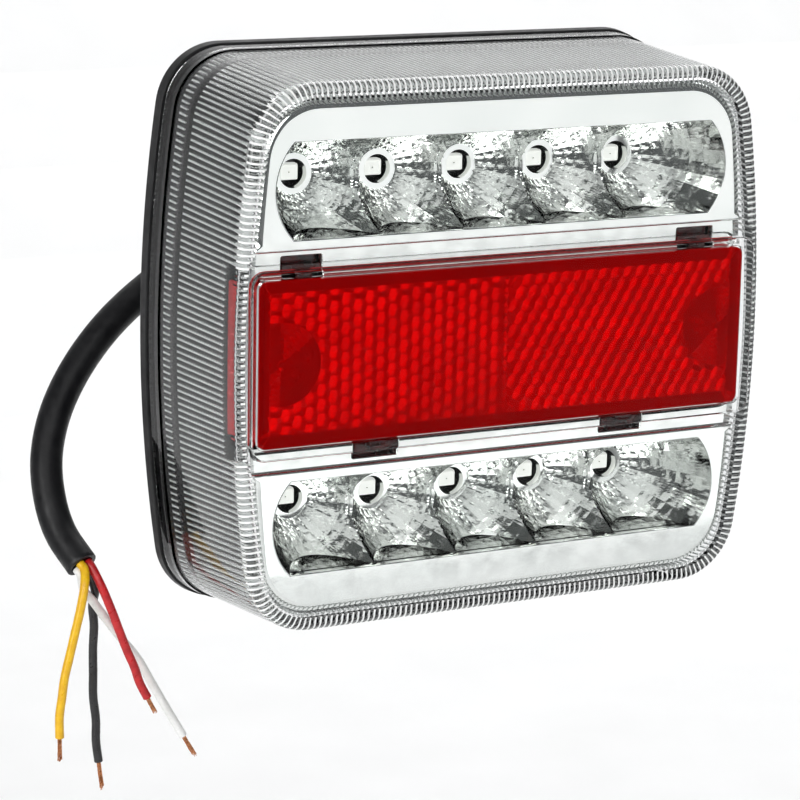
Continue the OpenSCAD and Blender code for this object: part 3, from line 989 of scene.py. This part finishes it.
def prism_lines():
    """Edges of the prism cells and of their three faces."""
    lines = {}
    for upright in (True, False):
        side = -1 if upright else 1
        for x, z in cell_centres(upright):
            corners = []
            for k in range(6):
                p, q = polar(CELL_SIDE, math.radians(60 * k))
                corners.append((x + p, z + q) if upright else (x + q, z + p))
            pairs = [(corners[k], corners[(k + 1) % 6]) for k in range(6)]
            pairs += [((x, z), corners[k]) for k in (0, 2, 4)]
            for a, b in pairs:
                line = clipped(a, b, side)
                if line:
                    key = tuple(sorted((round(px, 2), round(pz, 2)) for px, pz in line))
                    lines[key] = line
    return list(lines.values())


def ring_lines():
    """Ridges and valleys of the two ring lenses as short lines, cut where the slab's border begins."""
    lines = []
    limit = FIELD_A - 2 * GAP
    for side in (-1, 1):
        radii = [k * RING_PITCH / 2 for k in range(1, 14)] + [DISC_R - GAP, DISC_R + GAP]
        for radius in radii:
            steps = 10 + 8 * math.ceil(radius)
            arc = [(side * p, q) for p, q in circle(DISC_X, 0, radius, steps)]
            arc.append(arc[0])
            lines += [(a, b) for a, b in zip(arc, arc[1:]) if abs(a[0]) < limit and abs(b[0]) < limit]
    return lines


def add_prisms(shell, loop, ring):
    """Closes the slab's back, whose outline is loop and ring, with prisms and ring lenses."""
    places, links, index = [], [], {}

    def point(x, z):
        key = (round(x, 4), round(z, 4))
        if key not in index:
            index[key] = len(places)
            places.append(Vector((x, z)))
        return index[key]

    for x, z in loop:
        point(x, z)
    outline_count = len(places)
    links += [(i, (i + 1) % outline_count) for i in range(outline_count)]
    reach = FIELD_B - 2 * GAP
    borders = [rounded_rect(FIELD_A, FIELD_B, 0.5, 2, 2),
               rounded_rect(FIELD_A - 2 * GAP, reach, 0.45, 2, 2)]
    lines = prism_lines() + ring_lines()
    for border in borders:
        lines += list(zip(border, border[1:] + border[:1]))
    lines += [((x, -reach), (x, reach)) for x in (-GAP, GAP)]
    for a, b in lines:
        i, j = point(*a), point(*b)
        if i != j:
            links.append((i, j))
    result = geometry.delaunay_2d_cdt(places, links, [], 0, 1e-5)
    verts = []
    for place, origin in zip(result[0], result[3]):
        if origin and min(origin) < outline_count:
            verts.append(ring[min(origin)])
        else:
            verts.append(shell.bm.verts.new((place.x * MM, -back_depth(place.x, place.y) * MM, place.y * MM)))
    for triangle in result[2]:
        x = sum(result[0][i].x for i in triangle) / 3
        z = sum(result[0][i].y for i in triangle) / 3
        if is_inside(x, z, loop):
            shell.bm.faces.new([verts[i] for i in triangle])


def make_red_reflector():
    """Red slab with a rounded front edge, and prisms and ring lenses on its back."""
    shell = Shell()
    loop = rounded_rect(SLAB_A, SLAB_B, 1.4, spacing=2)
    edge = 0.3
    rows = [(loop, SLAB_BACK), (loop, SLAB_FRONT - edge)]
    rows += [(grown(loop, -edge * inset), SLAB_FRONT - edge * drop) for inset, drop in rounding(3, 1)]
    rings = shell.stack(rows)
    shell.fill(rings[-1])
    add_prisms(shell, loop, rings[0])
    obj = shell.link("red_slab", red_material(), smooth=8)
    ride_for(obj, "red_plastic", "red_reflector")


# Snap hooks of the red insert, the same on both sides: x, upper (1) or lower (-1) edge, width
HOOKS = ((38, 1, 7), (24, -1, 8))
HOOK_GAP = 0.02


def make_end_plates():
    """Plates behind the slab's ends."""
    shell = Shell()
    thickness = 1.4
    for side in (-1, 1):
        plate = placed(side * (SLAB_A - thickness / 2), 0, rounded_rect(thickness / 2, SLAB_B - 1, 0.3, 2))
        shell.solid(plate, 28, CHANNEL_D - HOOK_GAP)
    ride_for(shell.link("red_end_plates", plate_material(), smooth=30), "red_plastic")


def make_hooks():
    """Snap hooks: a tab beside the slab, a leg through the channel's floor and a lip under it."""
    shell = Shell()
    for x, sign, width in HOOKS:
        for side in (-1, 1):
            for half, b, r, away, near, far, soften in (
                    (width / 5, 0.75, 0.4, 0.8, CHANNEL_D + HOOK_GAP, FACE_D - 0.1, 0.2),
                    (width / 2, 0.65, 0.2, 1.5, 31.9, CHANNEL_D - HOOK_GAP, 0),
                    (width / 2, 1.55, 0.5, 2.4, 29.5, 31.85, 0.25)):
                loop = placed(side * x, sign * (SLAB_B + away), rounded_rect(half, b, r, 3))
                shell.solid(loop, near, far, soften=soften)
    ride_for(shell.link("red_hooks", shaded_red_material(), smooth=30), "red_plastic")


# ---------------------------------------------------------------- bezel

SECTORS = 28
PILLOW = 1.05
SAMPLES = 4


def bowl_depth(r):
    """Depth of a bowl's paraboloid at a distance from its axis."""
    rise = (FACE_D - RING_D) / (BOWL_R ** 2 - RING_R ** 2)
    return RING_D + rise * (r * r - RING_R * RING_R)


def add_bowl(shell, x, z, clip):
    """One faceted bowl, in millimetres, cut to its share of the row."""
    bm = bmesh.new()
    rise = (0, 0.75, 1, 0.75)
    count = SECTORS * SAMPLES
    steps = int((BOWL_R - RING_R) / PILLOW) * SAMPLES + 1
    radii = [HOLE_R, RING_R]
    radii += [RING_R + (BOWL_R - RING_R) * i / steps for i in range(1, steps + 1)]
    rings = []
    for j, r in enumerate(radii):
        ring = []
        for i, (px, pz) in enumerate(circle(x, z, r, count)):
            width = min(1, 2 * math.pi * r / SECTORS)
            height = 0.1 * width * rise[i % SAMPLES] * rise[(j - 1) % SAMPLES]
            depth = RING_D if j < 2 else bowl_depth(r) + height
            if j == len(radii) - 1:
                depth = FACE_D
            ring.append(bm.verts.new((px, -depth, pz)))
        rings.append(ring)
    hole = [bm.verts.new((v.co.x, v.co.y + 1.4, v.co.z)) for v in rings[0]]
    for one, two in [*zip(rings, rings[1:]), (hole, rings[0])]:
        for i in range(count):
            j = (i + 1) % count
            bm.faces.new((one[i], one[j], two[j], two[i]))
    for place, normal in clip:
        geom = list(bm.verts) + list(bm.edges) + list(bm.faces)
        bmesh.ops.bisect_plane(bm, geom=geom, dist=1e-5, plane_co=place, plane_no=normal, clear_outer=True)
    mesh = bpy.data.meshes.new("bowl")
    bm.to_mesh(mesh)
    bm.free()
    shell.bm.from_mesh(mesh)
    bpy.data.meshes.remove(mesh)


def make_bowl_row(name, row_z):
    """Five bowls side by side, with the flat walls above and below them."""
    shell = Shell()
    for i in range(-2, 3):
        x = i * LED_PITCH
        clip = [((0, 0, row_z + ROW_HALF), (0, 0, 1)), ((0, 0, row_z - ROW_HALF), (0, 0, -1))]
        if i < 2:
            clip.append(((x + LED_PITCH / 2, 0, 0), (1, 0, 0)))
        if i > -2:
            clip.append(((x - LED_PITCH / 2, 0, 0), (-1, 0, 0)))
        add_bowl(shell, x, row_z, clip)
    bm = shell.bm
    bmesh.ops.remove_doubles(bm, verts=bm.verts, dist=0.002)
    back = FACE_D - BEZEL_T
    for sign in (-1, 1):
        level = row_z + sign * ROW_HALF
        walls = [e for e in bm.edges if e.is_boundary
                 and all(abs(v.co.z - level) < 0.01 and -v.co.y < back for v in e.verts)]
        lifted = {}
        for edge in walls:
            for v in edge.verts:
                if v not in lifted:
                    lifted[v] = bm.verts.new((v.co.x, -back - 0.01, level))
        for edge in walls:
            a, b = edge.verts
            bm.faces.new((a, b, lifted[b], lifted[a]))
    bmesh.ops.recalc_face_normals(bm, faces=bm.faces)
    top = max(bm.faces, key=lambda f: -f.calc_center_median().y)
    if top.normal.y > 0:
        bmesh.ops.reverse_faces(bm, faces=bm.faces)
    bmesh.ops.scale(bm, vec=(MM, MM, MM), verts=bm.verts)
    obj = shell.link(name, chrome_material(), smooth=14, outward=False)
    thick = obj.modifiers.new("wall", "SOLIDIFY")
    thick.thickness = 0.9 * MM
    thick.offset = -1
    return obj


# How far the plated face's rounded edge reaches past the skirt
LIP = 1.5


def bezel_plate(shell, sign):
    """Upper or lower half of the bezel face, with its row's window."""
    whole = bezel_loop(-LIP, COARSE)
    arc = [p for p in whole if sign * p[1] > CHANNEL_HALF + 0.3]
    first = whole.index(arc[0])
    while whole[first - 1] in arc:
        first -= 1
    arc = [whole[(first + i) % len(whole)] for i in range(len(arc))]
    edge_x = BEZEL_A + LIP - BEZEL_BOW * (CHANNEL_HALF / BEZEL_B) ** 2
    level = sign * CHANNEL_HALF
    straight = [(sign * edge_x * (i / 15 - 1), level) for i in range(31)]
    loop = arc + straight
    half = 2 * LED_PITCH
    tip = math.asin(ROW_HALF / BOWL_R)
    window = []
    for centre, start in ((half, -tip), (-half, math.pi - tip)):
        for i in range(33):
            window.append(polar(BOWL_R, start + 2 * tip * i / 32, centre, sign * ROW_Z))
        px, pz = window[-1]
        window += [(px - 2 * px * i / 24, pz) for i in range(1, 24)]
    soften = [LIP + 0.1] * len(arc) + [0.5] * len(straight)
    shell.solid(loop, FACE_D - BEZEL_T - 0.6, FACE_D, [window], soften=soften, hole_soften=0.2, steps=6)


def slot_loops():
    """Slots round the snap hooks in the channel floor."""
    return [placed(side * x, sign * (SLAB_B + 1.9), rounded_rect(width / 2 + 0.2, 1.7, 0.3, 3))
            for x, sign, width in HOOKS for side in (-1, 1)]


def tail_bowl(shell, x):
    """Smooth bowl round a tail light source: inside from its foot to its rim, then back down outside."""
    foot, rim = 16.6, 33.5
    wall = [(2.3, foot), (3, foot)]
    wall += [(3 + 1.5 * math.sqrt(i / 6), foot + (rim - foot) * i / 6) for i in range(1, 7)]
    wall += [(4.57, rim), (4.57, 32.2)]
    wall += [(3.4 + 1.1 * math.sqrt(i / 5), 15.6 + 16.6 * i / 5) for i in range(4, -1, -1)]
    wall += [(2.3, 15.6)]
    shell.revolve(x, 0, wall)


def make_bezel():
    """Metallised bezel: face plates, channel for the red insert, tail bowls and the two rows of bowls."""
    shell = Shell()
    bezel_plate(shell, 1)
    bezel_plate(shell, -1)
    reach = SLAB_A - 1.7
    edge = CHANNEL_HALF - 0.02
    notch = SLAB_B + 0.2
    outline = [(reach, 0), (reach, notch / 2), (reach, notch), (BEZEL_A + 1, notch), (BEZEL_A + 0.9, edge),
               (BEZEL_A / 2, edge), (0, edge)]
    holes = slot_loops() + [circle(side * TAIL_X, 0, 4.6) for side in (-1, 1)]
    shell.solid(mirrored(outline), CHANNEL_D - BEZEL_T, CHANNEL_D, holes, hole_soften=0.2)
    for side in (-1, 1):
        tail_bowl(shell, side * TAIL_X)
    ride_for(shell.link("bezel_face", chrome_material()), "metallised_plastic", "reflector_bezel")
    ride_for(make_bowl_row("bowl_row_upper", ROW_Z), "metallised_plastic")
    ride_for(make_bowl_row("bowl_row_lower", -ROW_Z), "metallised_plastic")


def make_skirt():
    """Unplated skirt and screw bosses under the bezel face, notched for the red end plates."""
    shell = Shell()
    outer = bezel_loop(0.02, COARSE)
    inner = bezel_loop(BEZEL_T, COARSE)
    tops = [27.7 if abs(z) < SLAB_B + 0.2 and abs(x) > 20 else FACE_D - BEZEL_T - 0.65 for x, z in outer]
    feet = [2.55] * len(outer)
    rows = []
    for loop, depths in ((outer, feet), (outer, tops), (inner, tops), (inner, feet)):
        rows.append([shell.bm.verts.new((x * MM, -d * MM, z * MM)) for (x, z), d in zip(loop, depths)])
    shell.loft(rows, closed=True)
    low, high = BOARD_FRONT + 0.02, CHANNEL_D - BEZEL_T - 0.02
    for x in (-30, 30):
        for z in (-10, 10):
            shell.revolve(x, z, [(1.06, low), (3, low), (3.1, high), (1.06, high)], 24)
    ride_for(shell.link("bezel_skirt", skirt_material()), "metallised_plastic")


# ---------------------------------------------------------------- light sources

def add_led(shell, x, z):
    """Surface-mounted source: bevelled body, shallow well and the mark of its die."""
    near = BOARD_FRONT
    rows = [(placed(x, z, rounded_rect(a, b, r, 3, 100)), near + rise) for a, b, r, rise in (
        (1.75, 1.4, 0.15, 0), (1.75, 1.4, 0.15, 1.2), (1.68, 1.33, 0.15, 1.55), (1.58, 1.24, 0.18, 1.86),
        (1.52, 1.18, 0.2, 1.9), (1.42, 1.08, 0.3, 1.9), (1.36, 1.02, 0.3, 1.82))]
    rings = shell.stack(rows)
    shell.cap(rings[0])
    shell.cap(rings[-1])
    before = len(shell.bm.faces)
    profile = [(0.14, near + 1.8), (0.13, near + 1.87), (0.07, near + 1.89)]
    dot = shell.revolve(x, z, profile, 12, closed=False)
    shell.cap(dot[0])
    shell.cap(dot[-1])
    shell.bm.faces.ensure_lookup_table()
    for face in shell.bm.faces[before:]:
        face.material_index = 1


def make_leds():
    """The two rows of five sources and the pair behind the ring lenses."""
    columns = [i * LED_PITCH for i in range(-2, 3)]
    for name, node, places in (("led_row_upper", "upper_row_leds", [(x, ROW_Z) for x in columns]),
                               ("led_row_lower", "lower_row_leds", [(x, -ROW_Z) for x in columns]),
                               ("led_pair_tail", "tail_leds", [(-TAIL_X, 0), (TAIL_X, 0)])):
        shell = Shell()
        for x, z in places:
            add_led(shell, x, z)
        ride_for(shell.link(name, package_material(), chip_material()), "led_package", node)


# ---------------------------------------------------------------- housing, seal and fasteners

STUD_X = 22.5
ENTRY_Z = 16
# Across the flats of the stud heads and nuts
HEX_ACROSS = 8
NUT_D = (-9.28, -5.32)
HEAD_D = 6.02
THREAD_D = -3
THREAD_PITCH = 0.8


def make_housing():
    """Dark tray: rounded back edge, tongue for the lens, stud bosses and cable boss."""
    shell = Shell()
    edge = 0.8
    rows = [(edge * rise, edge * inset) for rise, inset in rounding(5)]
    rows += [(2.6, 0.02), (2.75, 0.15), (2.78, 2.8), (6.3, 2.8), (6.5, 3), (6.5, 4.2), (6.3, 4.4), (2.5, 4.4)]
    rings = shell.stack([(body_loop(depth, inset, COARSE), depth) for depth, inset in rows])
    backs, floors = [], []
    for x, z, bore, top in ((-STUD_X, 0, 2.95, 6), (STUD_X, 0, 2.95, 6), (0, ENTRY_Z, 4.55, 5.5)):
        profile = [(bore + 0.3, 0), (bore, 0.3), (bore, top), (6.2, top), (6.5, top - 0.3), (6.5, 2.5)]
        wall = shell.revolve(x, z, profile, closed=False)
        backs.append(wall[0])
        floors.append(wall[-1])
    shell.fill(rings[0], backs)
    shell.fill(rings[-1], floors)
    ride_for(shell.link("housing_tray", housing_material()), "housing_plastic", "base_housing")


def make_seal():
    """Seal between the tray and the cover's flange, its outer edge bevelled."""
    shell = Shell()
    near, far = SEAL_D
    shell.stack([(body_loop(base, inset, COARSE), depth) for base, inset, depth in (
        (near, 0.6, near), (near, 0.5, near + 0.12), (far, 0.5, far - 0.12), (far, 0.6, far),
        (far, 2.05, far), (near, 2.05, near))], closed=True)
    ride_for(shell.link("seal_ring", seal_material()), "seal_rubber", "lens_seal")


def make_grommet():
    """Rubber grommet: flange with a rounded rim and a ribbed sleeve that tapers along the cable."""
    shell = Shell()
    bore = SHEATH_D / 2 + 0.03
    profile = [(4.5, 5.4), (4.4, 5.5), (bore - 0.45, 5.5), (bore - 0.45, 4), (bore, 4), (bore, -7.9)]
    profile += [(bore + 0.1, -8), (bore + 0.75, -8), (bore + 0.85, -7.8)]
    for i in range(4):
        start = -7.2 + 1.35 * i
        radius = bore + 0.85 + 0.42 * i
        profile += [(radius, start), (radius + 0.05, start + 0.75)]
        profile += [(radius - 0.3, start + 0.85), (radius - 0.2, start + 1.3)]
    profile += [(5, -1.55), (6.2, -1.25), (6.45, -1.1), (6.5, -0.9), (6.5, -0.12), (6.4, 0), (4.5, 0)]
    shell.revolve(0, ENTRY_Z, profile, 64)
    ride_for(shell.link("grommet_sleeve", grommet_material(), smooth=40), "grommet_rubber", "cable_grommet")


def hex_rows(x, near, far, across, sides, chamfer_near, chamfer_far):
    """Rings of a hexagon whose corners are turned down at its chamfered ends."""
    land = across / 2 * 0.96
    slope = 1 / math.tan(math.radians(30))
    steps = [0.75 * i / 5 for i in range(6)]
    ends = [(near + step, land + step * slope if chamfer_near else across) for step in steps]
    ends += [(far - step, land + step * slope if chamfer_far else across) for step in reversed(steps)]
    rows = []
    for depth, limit in ends:
        loop = []
        for k in range(sides):
            turn = 2 * math.pi * k / sides
            wedge = (turn + math.pi / 6) % (math.pi / 3) - math.pi / 6
            loop.append(polar(min(across / 2 / math.cos(wedge), limit), turn, x))
        rows.append((loop, depth))
    return rows


def add_thread(shell, x, start, end, bottom, top):
    """Screw thread of 0.8 pitch between two depths, its tip chamfered; returns its first and last ring."""
    sides = 32
    step = THREAD_PITCH / 8
    count = int(round((start - end) / step))
    rings = []
    for k in range(count + 1):
        depth = start - k * step
        loop = []
        for i in range(sides):
            phase = (i / sides + k * step / THREAD_PITCH) % 1
            wave = 1 - abs(2 * phase - 1)
            wave = min(1, max(0, 1.35 * wave - 0.15))
            fade = min(1, k / 6)
            r = top + (bottom + (top - bottom) * wave - top) * fade
            r = min(r, bottom - 0.15 + (count - k) * step)
            loop.append(polar(r, 2 * math.pi * i / sides, x))
        rings.append(shell.ring(loop, depth))
    shell.loft(rings)
    return rings


def make_studs():
    """M5 studs: hexagon head inside the housing, seat, plain shank and rolled thread."""
    shell = Shell()
    for x in (-STUD_X, STUD_X):
        head = shell.stack(hex_rows(x, HEAD_D, 9.2, HEX_ACROSS, 48, False, True))
        shell.fill(head[-1])
        profile = [(2.88, HEAD_D), (2.88, 0.02), (2.48, 0), (2.48, THREAD_D)]
        seat = shell.revolve(x, 0, profile, 32, closed=False)
        shell.fill(head[0], [seat[0]])
        thread = add_thread(shell, x, THREAD_D, -20, 2.02, 2.45)
        shell.bridge(seat[-1], thread[0])
        shell.cap(thread[-1])
    ride_for(shell.link("studs_threaded", zinc_material(), smooth=30), "zinc_steel", "mounting_studs")


def make_flat_washers():
    shell = Shell()
    profile = [(2.65, -3.05), (4.9, -3.02), (5, -3.12), (5, -3.88), (4.9, -3.98), (2.65, -3.98)]
    for x in (-STUD_X, STUD_X):
        shell.revolve(x, 0, profile)
    ride_for(shell.link("washers_flat", zinc_material()), "zinc_steel", "flat_washers")


def make_spring_washers():
    """Split washers with a small lift at the gap."""
    shell = Shell()
    profile = [(2.7, -4.1), (4.25, -4.1), (4.38, -4.2), (4.38, -5.1), (4.25, -5.2), (2.7, -5.2)]
    for x in (-STUD_X, STUD_X):
        rings = []
        for i in range(41):
            turn = math.radians(6 + 348 * i / 40)
            lift = 0.12 * (i / 40 - 0.5)
            ring = []
            for r, depth in profile:
                px, pz = polar(r, turn, x)
                ring.append(shell.bm.verts.new(Vector((px, -(depth + lift), pz)) * MM))
            rings.append(ring)
        shell.loft(rings)
        shell.cap(rings[0])
        shell.cap(rings[-1])
    ride_for(shell.link("washers_spring", zinc_material()), "zinc_steel", "spring_washers")


def make_nuts():
    """Hexagon nuts, chamfered on both faces, with a countersunk bore."""
    shell = Shell()
    for x in (-STUD_X, STUD_X):
        body = shell.stack(hex_rows(x, *NUT_D, HEX_ACROSS, 96, True, True))
        profile = [(2.75, NUT_D[0]), (2.47, -9), (2.47, -5.6), (2.75, NUT_D[1])]
        bore = shell.revolve(x, 0, profile, 48, closed=False)
        shell.fill(body[0], [bore[0]])
        shell.fill(body[-1], [bore[-1]])
    ride_for(shell.link("nuts_hexagon", zinc_material(), smooth=30), "zinc_steel", "stud_nuts")


# ---------------------------------------------------------------- carried CAD nodes

def dress(node, material):
    """Gives a carried CAD node its material."""
    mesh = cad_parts[node].data
    mesh.materials.clear()
    mesh.materials.append(material)


def dress_inside():
    dress("circuit_board", laminate_material())
    dress("resistors", ceramic_material())
    dress("diodes", diode_material())
    dress("board_screws", zinc_material())
    dress("solder_joints", solder_material())
    for colour, (dark, light) in CORE_COLOURS.items():
        dress(f"inner_lead_{colour}", core_material(f"inner_{colour}_pvc", dark, light))


make_camera()
make_sheath()
strand_wires = make_strands()
for core_colour in CORES:
    make_core(core_colour)
make_lights()
make_floor()
make_housing()
make_seal()
make_lens()
make_red_reflector()
make_end_plates()
make_hooks()
make_bezel()
make_skirt()
make_leds()
make_grommet()
make_studs()
make_flat_washers()
make_spring_washers()
make_nuts()
dress_inside()
